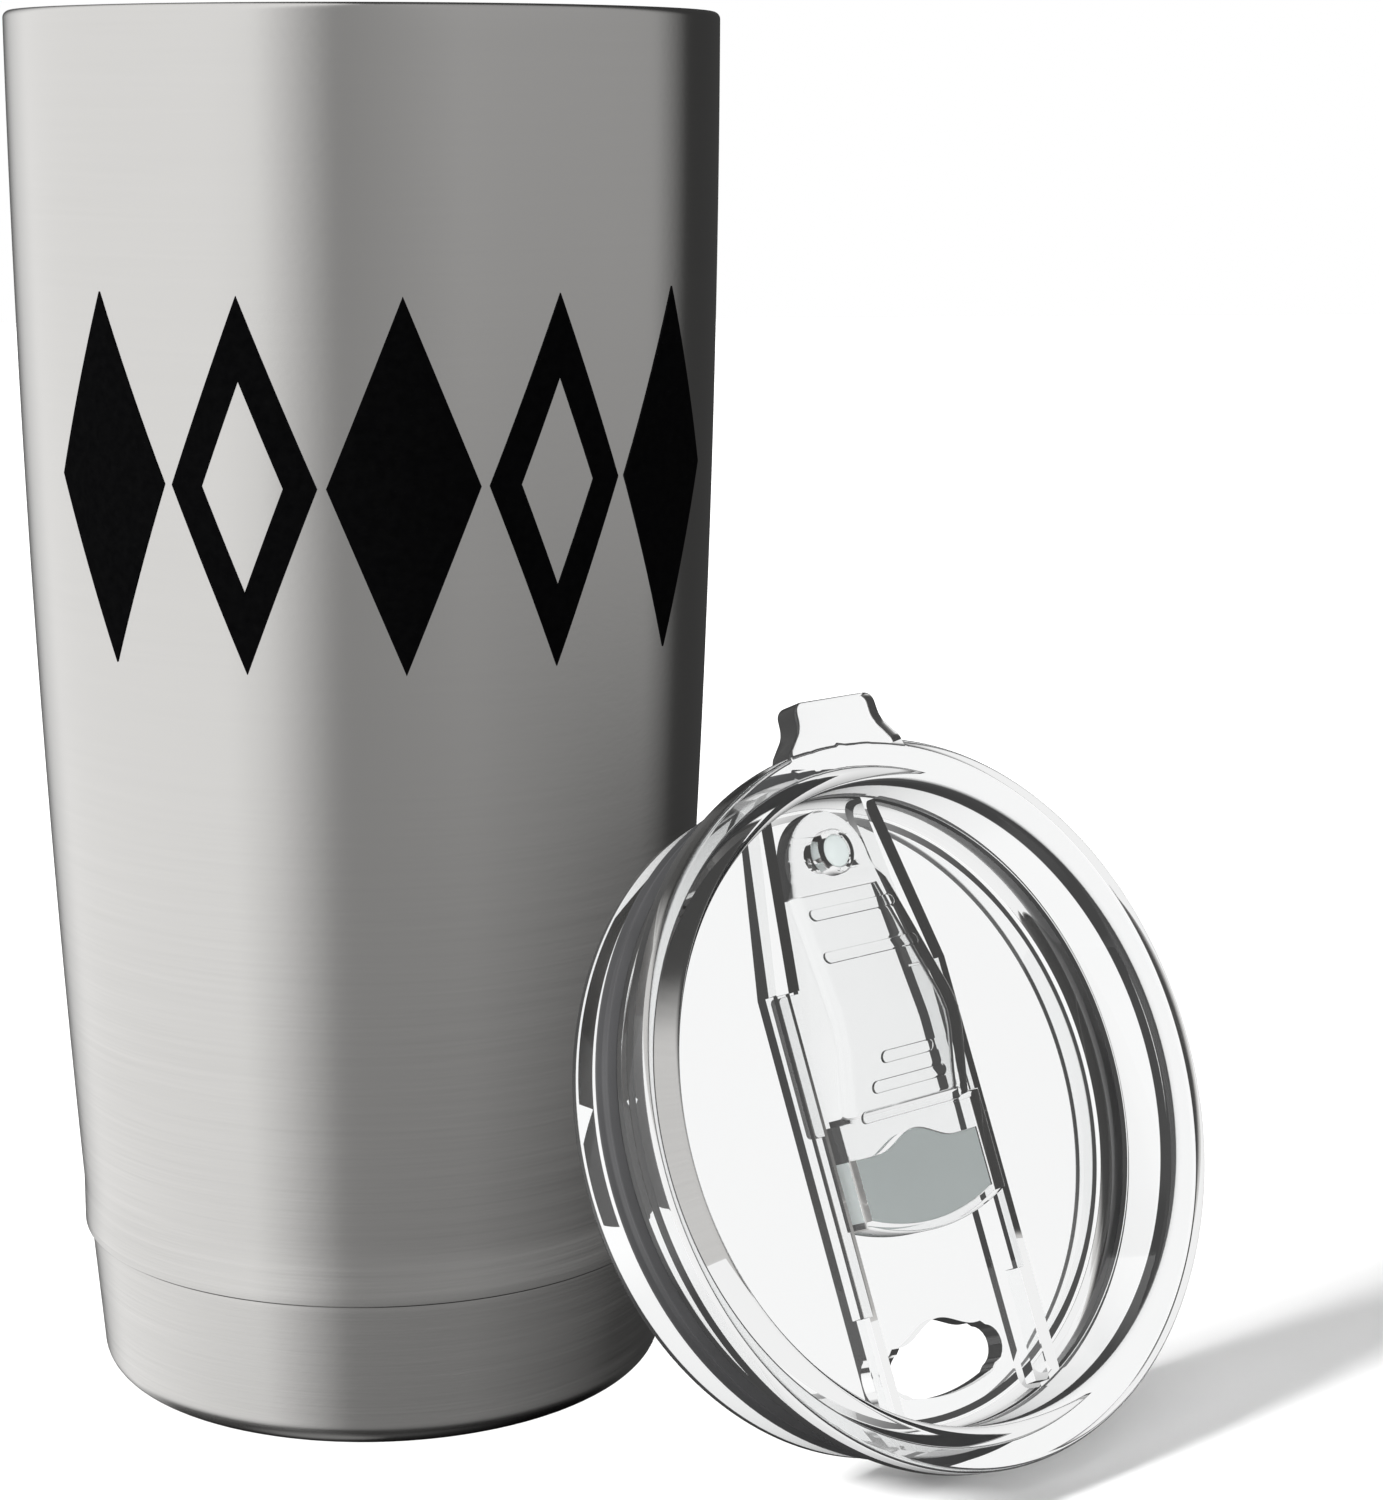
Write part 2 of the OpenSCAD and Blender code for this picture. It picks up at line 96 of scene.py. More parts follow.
def arc(centre: Sequence[float], radius: float, start: float, end: float, steps: int = ARC_STEPS) -> Array:
    """Points along an arc: centre + radius * (cos a, sin a).

    Args:
        centre: The arc's centre.
        radius: Its radius.
        start: First angle in degrees.
        end: Last angle in degrees.
        steps: Number of steps between the two.

    Returns:
        An array of steps + 1 points.
    """
    a = np.radians(np.linspace(start, end, steps + 1))
    return np.asarray(centre, float) + radius * np.column_stack([np.cos(a), np.sin(a)])


def path(*parts: Any) -> Array:
    """Joins points and rows of points into one row of points."""
    return np.vstack([np.atleast_2d(np.asarray(part, float)) for part in parts])


def rounded(corners: Sequence[Sequence[float]], steps: int = ARC_STEPS) -> Array:
    """A closed outline whose corners are rounded, each by its own radius.

    At a corner with radius r and half-angle h between its sides, the arc starts r / tan(h) before the corner.

    Args:
        corners: (x, y, radius) of each corner in turn.
        steps: Steps along each rounded corner.

    Returns:
        The outline's points.
    """
    rows = []
    count = len(corners)
    for i, (x, y, radius) in enumerate(corners):
        here = np.array([x, y])
        if radius <= 0:
            rows.append(here[None])
            continue
        back = np.array(corners[i - 1][:2]) - here
        ahead = np.array(corners[(i + 1) % count][:2]) - here
        back, ahead = back / np.linalg.norm(back), ahead / np.linalg.norm(ahead)
        half = math.acos(float(np.clip(back @ ahead, -1, 1))) / 2
        start, end = here + back * radius / math.tan(half), here + ahead * radius / math.tan(half)
        middle = back + ahead
        centre = here + middle / np.linalg.norm(middle) * radius / math.sin(half)
        t = np.linspace(0, 1, steps + 1)[:, None]
        chord = start * (1 - t) + end * t - centre
        rows.append(centre + radius * chord / np.linalg.norm(chord, axis=1, keepdims=True))
    return np.vstack(rows)


def inset(outline: Array, distance: float) -> Array:
    """Moves each point of a closed outline inwards along its own normal."""
    area = np.sum(outline[:, 0] * np.roll(outline[:, 1], -1) - outline[:, 1] * np.roll(outline[:, 0], -1))
    before, after = outline - np.roll(outline, 1, axis=0), np.roll(outline, -1, axis=0) - outline
    before /= np.maximum(np.linalg.norm(before, axis=1, keepdims=True), TINY)
    after /= np.maximum(np.linalg.norm(after, axis=1, keepdims=True), TINY)
    along = before + after
    along /= np.maximum(np.linalg.norm(along, axis=1, keepdims=True), TINY)
    inward = np.column_stack([-along[:, 1], along[:, 0]]) * np.sign(area)
    return outline + inward * distance


def swell(x: Array, level: float, half: float = 6.5) -> Array:
    """A level edge with a smooth swell in the middle, two high and half wide to each side.

    Args:
        x: Places along the edge.
        level: The swell's top.
        half: Half the swell's width.

    Returns:
        The edge's points.
    """
    return np.column_stack([x, level - 2 + np.where(np.abs(x) < half, 1 + np.cos(math.pi * x / half), 0)])


def bowed(half: float, low: float, radius: float, count: int) -> Array:
    """An edge that bows down to a lowest point: low + radius - sqrt(radius^2 - x^2).

    Args:
        half: Half the edge's width.
        low: Its lowest point.
        radius: The bow's radius.
        count: Number of points.

    Returns:
        The edge's points, from -half to half.
    """
    x = np.linspace(-half, half, count)
    return np.column_stack([x, low + radius - np.sqrt(radius**2 - x**2)])


def bow_radius(half: float, rise: float) -> float:
    """Radius of the arc that rises this much from its middle to half a chord: (half^2 + rise^2) / (2 rise)."""
    return (half**2 + rise**2) / (2 * rise)


@dataclass
class Surface:
    """A grid of points carried along two parameters.

    Attributes:
        points: The grid, rows by columns by three. Columns always run round and close on themselves.
        looped: Whether the last row joins the first.
        capped: Whether the first and last rows are closed with flat faces.
    """

    points: Array
    looped: bool = False
    capped: bool = False

    def faces(self) -> list[list[int]]:
        """The quads between neighbouring rows, and the caps."""
        rows, columns = self.points.shape[:2]
        index = np.arange(rows * columns).reshape(rows, columns)
        low = index if self.looped else index[:-1]
        high = np.roll(index, -1, axis=0) if self.looped else index[1:]
        quads = np.stack([low, np.roll(low, -1, axis=1), np.roll(high, -1, axis=1), high], axis=-1)
        found = quads.reshape(-1, 4).tolist()
        if self.capped:
            found += [index[0][::-1].tolist(), index[-1].tolist()]
        return found


def turned(profile: Array, steps: int = TURN_STEPS) -> Surface:
    """A profile of (radius, height) turned about the vertical axis.

    Args:
        profile: A closed profile, or one that starts and ends on the axis.
        steps: Steps round the axis.

    Returns:
        The surface (r cos a, r sin a, z), with the profile's points as its rows.
    """
    a = np.arange(steps) * 2 * math.pi / steps
    radius, height = profile[:, :1], profile[:, 1:]
    points = np.stack([radius * np.cos(a), radius * np.sin(a), height + 0 * a], axis=-1)
    on_axis = abs(profile[0, 0]) < TINY and abs(profile[-1, 0]) < TINY
    return Surface(points, looped=not on_axis)


def slab(outline: Array, low: float, high: float, edge: float = 0.0, steps: int = 3) -> Surface:
    """A flat piece with the given outline, its two edges rounded by moving the outline inwards along an arc.

    Args:
        outline: The closed outline.
        low: Height of its under face.
        high: Height of its top face.
        edge: Radius of both edges.
        steps: Steps along each edge.

    Returns:
        The closed surface.
    """
    if edge <= 0:
        rings, heights = [outline, outline], [low, high]
    else:
        a = np.linspace(0, math.pi / 2, steps + 1)
        rings = [inset(outline, edge * (1 - math.sin(t))) for t in a]
        heights = [low + edge * (1 - math.cos(t)) for t in a]
        rings += rings[::-1]
        heights += [high - (z - low) for z in heights[::-1]]
    points = np.stack([np.column_stack([ring, np.full(len(ring), z)]) for ring, z in zip(rings, heights)])
    return Surface(points, capped=True)


@dataclass(frozen=True)
class Frame:
    """Where a sub-assembly stands: millimetres in its own axes become metres in the model's."""

    origin: Array = field(default_factory=lambda: np.zeros(3))
    axes: Array = field(default_factory=lambda: np.eye(3))

    def place(self, points: Array) -> Array:
        """The points in the model's axes, in metres."""
        return self.origin + points * MM @ self.axes


class Piece:
    """A mesh object built from surfaces, with its place in its mesh."""

    def __init__(self, name: str, surface: Surface, frame: Frame = Frame()) -> None:
        """Makes the object.

        Args:
            name: The object's name.
            surface: Its surface in the frame's own axes, in millimetres.
            frame: Where it stands.
        """
        mesh = bpy.data.meshes.new(name)
        mesh.from_pydata(frame.place(surface.points.reshape(-1, 3)).tolist(), [], surface.faces())
        self.name = name
        self.object = bpy.data.objects.new(name, mesh)
        bpy.context.scene.collection.objects.link(self.object)
        self.mend()

    def mend(self) -> None:
        """Merges doubled points, which closes seams and poles, and turns every face outwards."""
        work = bmesh.new()
        work.from_mesh(self.object.data)
        bmesh.ops.remove_doubles(work, verts=work.verts, dist=MERGE_DISTANCE)
        bmesh.ops.dissolve_degenerate(work, edges=work.edges, dist=SLIVER_EDGE)
        bmesh.ops.recalc_face_normals(work, faces=work.faces)
        work.to_mesh(self.object.data)
        work.free()

    def combine(self, others: Sequence["Piece"], cut: bool) -> None:
        """Joins the other pieces to this one, or cuts them out of it, and removes them.

        Args:
            others: The pieces to join or to cut with.
            cut: Whether to cut.
        """
        for other in others:
            step = self.object.modifiers.new("step", "BOOLEAN")
            step.operation = "DIFFERENCE" if cut else "UNION"
            step.solver = "EXACT"
            step.object = other.object
            self.settle()
            bpy.data.objects.remove(other.object)

    def settle(self) -> None:
        """Applies the modifiers to the mesh."""
        graph = bpy.context.evaluated_depsgraph_get()
        graph.update()
        mesh = bpy.data.meshes.new_from_object(self.object.evaluated_get(graph))
        self.object.modifiers.clear()
        old, self.object.data = self.object.data, mesh
        mesh.name = self.name
        bpy.data.meshes.remove(old)

    def finish(self, material: bpy.types.Material, body: str, slot: str, *nodes: str, angle: float = 35.0) -> None:
        """Smooths the piece, dresses it and ties it to the frame.

        The lid is kept out of reflections, and the steel out of what is seen through the clear plastic.

        Args:
            material: Its finish.
            body: The body that it rides on.
            slot: The record's material slot; not used.
            nodes: The CAD nodes that it stands for.
            angle: Edges sharper than this many degrees stay sharp.
        """
        mesh = self.object.data
        mesh.materials.clear()
        mesh.materials.append(material)
        mesh.shade_smooth()
        mesh.set_sharp_from_angle(angle=math.radians(angle))
        self.object.visible_glossy = body == STEEL_BODY
        self.object.visible_transmission = body != STEEL_BODY
        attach(self.object, body)
        if nodes:
            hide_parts(*nodes)
        log.info("%s: %d faces on %s", self.name, len(mesh.polygons), body)


# --------------------------------------
# Finishes
# --------------------------------------


class Value:
    """A shader socket that can be used in sums."""

    def __init__(self, tree: "Tree", socket: bpy.types.NodeSocket) -> None:
        """Wraps a socket of a tree."""
        self.tree = tree
        self.socket = socket

    def maths(self, operation: str, *others: Any, flip: bool = False) -> "Value":
        """Adds a Math node on this value and the others."""
        values = [self, *others]
        if flip:
            values.reverse()
        return self.tree.node("ShaderNodeMath", {"operation": operation}, dict(enumerate(values)))

    def __add__(self, other: Any) -> "Value":
        """The sum."""
        return self.maths("ADD", other)

    def __sub__(self, other: Any) -> "Value":
        """The difference."""
        return self.maths("SUBTRACT", other)

    def __rsub__(self, other: Any) -> "Value":
        """The difference, reflected."""
        return self.maths("SUBTRACT", other, flip=True)

    def __mul__(self, other: Any) -> "Value":
        """The product."""
        return self.maths("MULTIPLY", other)


class Tree:
    """A node tree that nodes are added to by one method."""

    def __init__(self, tree: bpy.types.NodeTree) -> None:
        """Empties the tree."""
        self.tree = tree
        tree.nodes.clear()

    def node(
        self, kind: str, settings: dict[str, Any] | None = None, inputs: dict[Any, Any] | None = None, out: Any = 0
    ) -> Value:
        """Adds a node.

        Args:
            kind: The node's type.
            settings: Its own settings. "stops" is a ramp's list of (place, grey or colour).
            inputs: Values or links of its sockets, by name or index.
            out: Name or index of the output that is wanted.

        Returns:
            That output.
        """
        made = self.tree.nodes.new(kind)
        for name, value in (settings or {}).items():
            if name == "stops":
                self.stops(made.color_ramp, value)
            else:
                setattr(made, name, value)
        for name, value in (inputs or {}).items():
            if isinstance(value, Value):
                self.tree.links.new(value.socket, made.inputs[name])
            else:
                made.inputs[name].default_value = value
        return Value(self, made.outputs[out]) if len(made.outputs) else Value(self, None)

    @staticmethod
    def stops(ramp: bpy.types.ColorRamp, places: Sequence[tuple[float, Any]]) -> None:
        """Sets a ramp's stops."""
        while len(ramp.elements) < len(places):
            ramp.elements.new(0.5)
        for element, (place, colour) in zip(ramp.elements, places):
            element.position = place
            element.color = (colour,) * 3 + (1,) if isinstance(colour, (int, float)) else (*colour, 1)

    def ramp(self, value: Value, span: Sequence[float], start: float = 0.0, end: float = 1.0) -> Value:
        """A value that runs from start to end while another crosses a span."""
        return self.node("ShaderNodeMapRange", {}, {0: value, 1: span[0], 2: span[1], 3: start, 4: end})

    def noise(self, vector: Value, scale: float, detail: float = 2.0, rough: float = 0.5) -> Value:
        """A noise value from 0 to 1 at a vector."""
        return self.node(
            "ShaderNodeTexNoise", {}, {"Vector": vector, "Scale": scale, "Detail": detail, "Roughness": rough}
        )

    def stretched(self, factors: Sequence[float]) -> Value:
        """Object coordinates with each axis scaled."""
        place = self.node("ShaderNodeTexCoord", out="Object")
        return self.node("ShaderNodeVectorMath", {"operation": "MULTIPLY"}, {0: place, 1: tuple(factors)})

    def blend(self, factor: Value, first: Sequence[float], second: Sequence[float]) -> Value:
        """A colour between two colours."""
        return self.node(
            "ShaderNodeMix",
            {"data_type": "RGBA"},
            {0: factor, 6: (*first, 1.0), 7: (*second, 1.0)},
            out=2,
        )

    def bump(self, height: Value, strength: float, distance: float) -> Value:
        """A normal from a height; distance is in millimetres."""
        return self.node(
            "ShaderNodeBump", {}, {"Height": height, "Strength": strength, "Distance": distance * MM}
        )


@dataclass(frozen=True)
class Finish:
    """A material: the shader's constants, and a method that adds what varies.

    Attributes:
        name: The material's name.
        constants: Values set on the shader's own sockets.
        detail: Adds the nodes that vary, and returns what links to which socket.
    """

    name: str
    constants: dict[str, Any]
    detail: Callable[[Tree], dict[str, Value]]

    def build(self) -> bpy.types.Material:
        """Makes the material."""
        material = bpy.data.materials.new(self.name)
        material.use_nodes = True
        tree = Tree(material.node_tree)
        shader = tree.node("ShaderNodeBsdfPrincipled", {}, {**self.constants, **self.detail(tree)})
        tree.node("ShaderNodeOutputMaterial", {}, {"Surface": shader})
        return material


def brushed(tree: Tree, light: Sequence[float], dark: Sequence[float], rough: float) -> dict[str, Value]:
    """Fine lines round the vertical axis, broken up into strokes, over a soft cloud of polish.

    The lines come from noise that is squeezed along Z and long round the wall. They fade above the base.
    """
    fine = tree.noise(tree.stretched((70, 70, 5200)), 1.0, 3.0, 0.6)
    strokes = tree.noise(tree.stretched((22, 22, 1300)), 1.0, 3.0, 0.6)
    mottle = tree.noise(tree.stretched((1100, 1100, 1500)), 1.0, 2.0, 0.5)
    cloud = tree.noise(tree.stretched((18, 18, 26)), 1.0, 2.0, 0.5)
    height = tree.node("ShaderNodeSeparateXYZ", {}, {0: tree.node("ShaderNodeTexCoord", out="Object")}, out=2)
    low = tree.ramp(height, (0.02, 0.085), 0.9, 0.14)
    lines = (fine * 0.4 + strokes * 0.6 - 0.5) * low
    return {
        "Base Color": tree.blend(lines * 2.4 + cloud * 0.3 + 0.35, dark, light),
        "Roughness": lines * 0.3 + cloud * 0.05 + (rough - 0.025),
        "Normal": tree.bump(lines + mottle * 0.5, 0.5, 0.02),
    }


def plain_steel(tree: Tree) -> dict[str, Value]:
    """Smooth steel with a faint orange-peel of polish."""
    cloud = tree.noise(tree.stretched((90, 90, 90)), 1.0, 3.0, 0.5)
    return {
        "Base Color": tree.blend(cloud, (0.6, 0.59, 0.58), (0.7, 0.69, 0.68)),
        "Roughness": cloud * 0.12 + 0.16,
        "Normal": tree.bump(cloud, 0.08, 0.02),
    }


def ink(tree: Tree) -> dict[str, Value]:
    """Screen ink: even black with a fine grain in its gloss."""
    grain = tree.noise(tree.stretched((900, 900, 900)), 1.0, 2.0, 0.6)
    return {
        "Base Color": tree.blend(grain, (0.0008, 0.0008, 0.0009), (0.0025, 0.0025, 0.0026)),
        "Roughness": grain * 0.12 + 0.5,
        "Normal": tree.bump(grain, 0.05, 0.01),
    }


def clear(tree: Tree) -> dict[str, Value]:
    """Clear plastic with the slight waviness of a moulded wall."""
    wave = tree.noise(tree.stretched((60, 60, 60)), 1.0, 1.0, 0.4)
    return {
        "Roughness": wave * 0.012,
        "Normal": tree.bump(wave, 0.03, 0.05),
    }


def silicone(tree: Tree, low: Sequence[float], high: Sequence[float], rough: float) -> dict[str, Value]:
    """Moulded silicone: a fine matte grain and a faint cloud in its colour."""
    grain = tree.noise(tree.stretched((2400, 2400, 2400)), 1.0, 2.0, 0.6)
    cloud = tree.noise(tree.stretched((120, 120, 120)), 1.0, 2.0, 0.5)
    return {
        "Base Color": tree.blend(cloud, low, high),
        "Roughness": grain * 0.1 + (rough - 0.05),
        "Normal": tree.bump(grain, 0.06, 0.01),
    }


def foil(tree: Tree) -> dict[str, Value]:
    """Thin copper foil with shallow crinkles."""
    crinkle = tree.noise(tree.stretched((260, 260, 180)), 1.0, 4.0, 0.6)
    return {
        "Base Color": tree.blend(crinkle, (0.72, 0.38, 0.26), (0.86, 0.52, 0.36)),
        "Roughness": crinkle * 0.15 + 0.16,
        "Normal": tree.bump(crinkle, 0.3, 0.08),
    }


def sintered(tree: Tree) -> dict[str, Value]:
    """Pressed grey grains."""
    grain = tree.noise(tree.stretched((3000, 3000, 3000)), 1.0, 3.0, 0.7)
    return {
        "Base Color": tree.blend(grain, (0.16, 0.16, 0.17), (0.34, 0.34, 0.36)),
        "Roughness": grain * 0.2 + 0.55,
        "Normal": tree.bump(grain, 0.4, 0.05),
    }


STEEL = {"Metallic": 1.0, "Anisotropic": 0.8, "Anisotropic Rotation": 0.25}
CLEAR = {"Base Color": (0.985, 0.99, 0.99, 1), "IOR": 1.5, "Transmission Weight": 1.0}


class Look(Enum):
    """The finishes of the tumbler and its lid."""

    SATIN_STEEL = Finish(
        "satin_steel_finish", STEEL, lambda tree: brushed(tree, (0.68, 0.67, 0.655), (0.56, 0.553, 0.54), 0.22)
    )
    INNER_STEEL = Finish("inner_steel_finish", {"Metallic": 1.0}, plain_steel)
    BLACK_INK = Finish("black_ink_finish", {"Specular IOR Level": 0.0}, ink)
    CLEAR_PLASTIC = Finish("clear_plastic_finish", CLEAR, clear)
    DARK_SILICONE = Finish(
        "dark_silicone_finish", {}, lambda tree: silicone(tree, (0.03, 0.03, 0.031), (0.045, 0.045, 0.047), 0.42)
    )
    GREY_SILICONE = Finish(
        "grey_silicone_finish", {}, lambda tree: silicone(tree, (0.76, 0.83, 0.82), (0.81, 0.875, 0.865), 0.5)
    )
    COPPER_FOIL = Finish("copper_foil_finish", {"Metallic": 1.0}, foil)
    GETTER_ALLOY = Finish("getter_alloy_finish", {"Metallic": 0.6}, sintered)
    SOLDER = Finish("solder_finish", {"Metallic": 0.8}, sintered)

    @cache
    def material(self) -> bpy.types.Material:
        """The finish's material, made once."""
        return self.value.build()


# --------------------------------------
# The tumbler
# --------------------------------------


@dataclass
class Tumbler:
    """The double-wall steel body, its base cup and its print. Millimetres."""

    height: float = 175.2
    rim_r: float = 44.5
    seam_r: float = 39.25
    seam_z: float = 19.4
    band_top: float = 25.4
    sheet: float = 0.6
    mouth_r: float = 42.1
    mouth_depth: float = 22.0
    neck_h: float = 8.0
    gap: float = 3.0
    floor_z: float = 30.0
    corner_r: float = 7.0
    rim_edge: float = 0.9
    rim_split: float = 43.3
    base_top_r: float = 38.5
    base_foot_r: float = 37.15
    foot_edge: float = 3.2
    base_tuck: float = 3.0
    groove_r: float = 24.0
    groove_w: float = 1.6
    groove_depth: float = 0.3
    ink: float = 0.12
    ink_under: float = -0.03
    print_z: float = 120.5
    print_h: float = 44.0
    print_w: float = 18.0
    open_share: float = 0.56
    step: float = 25.0
    turn: float = 5.0
    body: str = STEEL_BODY

    def wall(self, z: Array) -> Array:
        """Outside radius at a height: the rim's radius less a square law that ends at the straight band."""
        fall = np.clip((self.height - z) / (self.height - self.band_top), 0, 1) ** 2
        return self.rim_r - (self.rim_r - self.seam_r) * fall

    def cup(self, z: Array) -> Array:
        """Inside radius of the drinking cup at a height."""
        return self.wall(z) - 2 * self.sheet - self.gap

    def shell(self) -> Piece:
        """The outer shell, from the seam to the rolled rim."""
        edge, t = self.rim_edge, self.sheet
        z = np.concatenate([np.linspace(self.seam_z + 0.25, self.band_top, 6)[:-1],
                            np.linspace(self.band_top, self.height - edge, 72)])
        profile = path(
            (self.seam_r - t, self.seam_z + 0.1), (self.seam_r - t + 0.1, self.seam_z),
            arc((self.seam_r - 0.25, self.seam_z + 0.25), 0.25, -90, 0, 4)[:-1],
            np.column_stack([self.wall(z), z]),
            arc((self.rim_r - edge, self.height - edge), edge, 0, 90)[1:],
            (self.rim_split, self.height), (self.rim_split, self.height - t), (self.rim_r - edge, self.height - t),
            np.column_stack([self.wall(z) - t, z])[::-1],
        )
        return Piece("steel_shell", turned(profile))

    def liner(self) -> Piece:
        """The drinking cup's wall: floor, round corner, tapering side, neck and straight mouth."""
        t, r = self.sheet, self.corner_r
        z = np.linspace(self.floor_z + r, self.height - self.mouth_depth - self.neck_h, 48)
        corner = (float(self.cup(z[0])) - r, self.floor_z + r)
        neck = self.height - self.mouth_depth
        lip = arc((self.mouth_r + 0.5, self.height - 0.5), 0.5, 180, 90, 5)
        ease = np.linspace(0, 1, 13)[1:-1]
        sweep = (1 - np.cos(math.pi * ease)) / 2
        inner = self.cup(z[-1]) + (self.mouth_r - self.cup(z[-1])) * sweep
        bend = z[-1] + (neck - z[-1]) * ease
        profile = path(
            (0, self.floor_z),
            arc(corner, r, -90, 0, 10),
            np.column_stack([self.cup(z), z])[1:],
            np.column_stack([inner, bend]),
            (self.mouth_r, neck), (self.mouth_r, self.height - 0.6), lip,
            (self.rim_split, self.height), (self.rim_split, self.height - t),
            (self.mouth_r + t, self.height - t), (self.mouth_r + t, neck),
            np.column_stack([inner + t, bend])[::-1],
            np.column_stack([self.cup(z) + t, z])[::-1],
            arc(corner, r + t, 0, -90, 10)[1:],
            (0, self.floor_z - t),
        )
        return Piece("steel_liner", turned(profile))

    def base(self) -> Piece:
        """The base cup: tapered side, round foot, and a pressed ring underneath."""
        t, foot, tuck = self.sheet, self.foot_edge, self.seam_z + self.base_tuck
        x, bore = self.base_foot_r - foot, self.seam_r - self.sheet
        deep, wide = self.groove_depth, self.groove_w
        groove = [(self.groove_r, 0), (self.groove_r + 0.2, deep), (self.groove_r + wide - 0.2, deep),
                  (self.groove_r + wide, 0)]
        side = np.linspace(0, 1, 14)[1:-1, None]
        low, high = np.array([self.base_foot_r, foot]), np.array([self.base_top_r, self.seam_z - 0.1])
        profile = path(
            (0, 0), groove, arc((x, foot), foot, -90, 0, 12), low + (high - low) * side,
            (self.base_top_r, self.seam_z - 0.1), (self.base_top_r, self.seam_z + 0.3), (bore, self.seam_z + 0.8),
            (bore, tuck), (bore - t, tuck), (bore - t, self.seam_z + 0.8), (self.base_top_r - t, self.seam_z),
            arc((x, foot), foot - t, 0, -90, 12), (0, t),
        )
        return Piece("steel_base", turned(profile))

    def open_lozenge(self) -> tuple[Array, Array]:
        """An open lozenge drawn flat: rows from its outline to its inner edge on the face, and back underneath.

        Returns:
            The rows of (x, z) points, and each row's height above the wall.
        """
        side = np.linspace(0, 1, 17)[:-1, None]
        corners = np.array([[0, 0.5], [-0.5, 0], [0, -0.5], [0.5, 0], [0, 0.5]])
        outline = np.vstack([a + (b - a) * side for a, b in zip(corners, corners[1:])])
        flat = np.linspace(1, self.open_share, 8)[:, None, None] * outline * [self.print_w, self.print_h]
        proud = np.repeat([self.ink, self.ink_under], len(flat))[:, None]
        return np.concatenate([flat, flat[::-1]]), proud

    def filled_lozenge(self) -> tuple[Array, Array]:
        """A filled lozenge drawn flat: rows from tip to tip, each across the face and back underneath.

        Returns:
            The rows of (x, z) points, and each point's height above the wall.
        """
        z = np.linspace(-0.5, 0.5, 49)[:, None]
        across = np.linspace(-0.5, 0.5, 13)
        x = (1 - 2 * np.abs(z)) * np.concatenate([across, across[::-1]])
        proud = np.repeat([self.ink, self.ink_under], len(across))[None]
        return np.stack([x * self.print_w, (z + 0 * x) * self.print_h], axis=-1), proud

    def lozenge(self, name: str, turn: float, opened: bool) -> Piece:
        """One printed lozenge, a thin skin wrapped straight onto the wall: y = -sqrt((wall(z) + proud)^2 - x^2).

        Args:
            name: The piece's name.
            turn: Its angle about the tumbler's axis.
            opened: Whether its middle is left open.

        Returns:
            The piece.
        """
        rows, proud = self.open_lozenge() if opened else self.filled_lozenge()
        x, z = rows[..., 0], rows[..., 1] + self.print_z
        y = -np.sqrt((self.wall(z) + proud) ** 2 - x**2)
        a = math.radians(turn)
        points = np.stack([x * math.cos(a) - y * math.sin(a), x * math.sin(a) + y * math.cos(a), z], axis=-1)
        return Piece(name, Surface(points, looped=opened))

    def build(self) -> None:
        """Builds and dresses every piece of the tumbler."""
        self.shell().finish(Look.SATIN_STEEL.material(), self.body, "satin_steel", "outer_shell")
        self.liner().finish(Look.INNER_STEEL.material(), self.body, "inner_steel", "inner_liner")
        self.base().finish(Look.SATIN_STEEL.material(), self.body, "satin_steel", "base_cup")
        for i in range(-2, 3):
            mark = self.lozenge(f"print_{i + 3}", self.turn + i * self.step, abs(i) == 1)
            mark.finish(Look.BLACK_INK.material(), self.body, "black_ink", "printed_pattern", angle=60)


# --------------------------------------
# The lid
# --------------------------------------


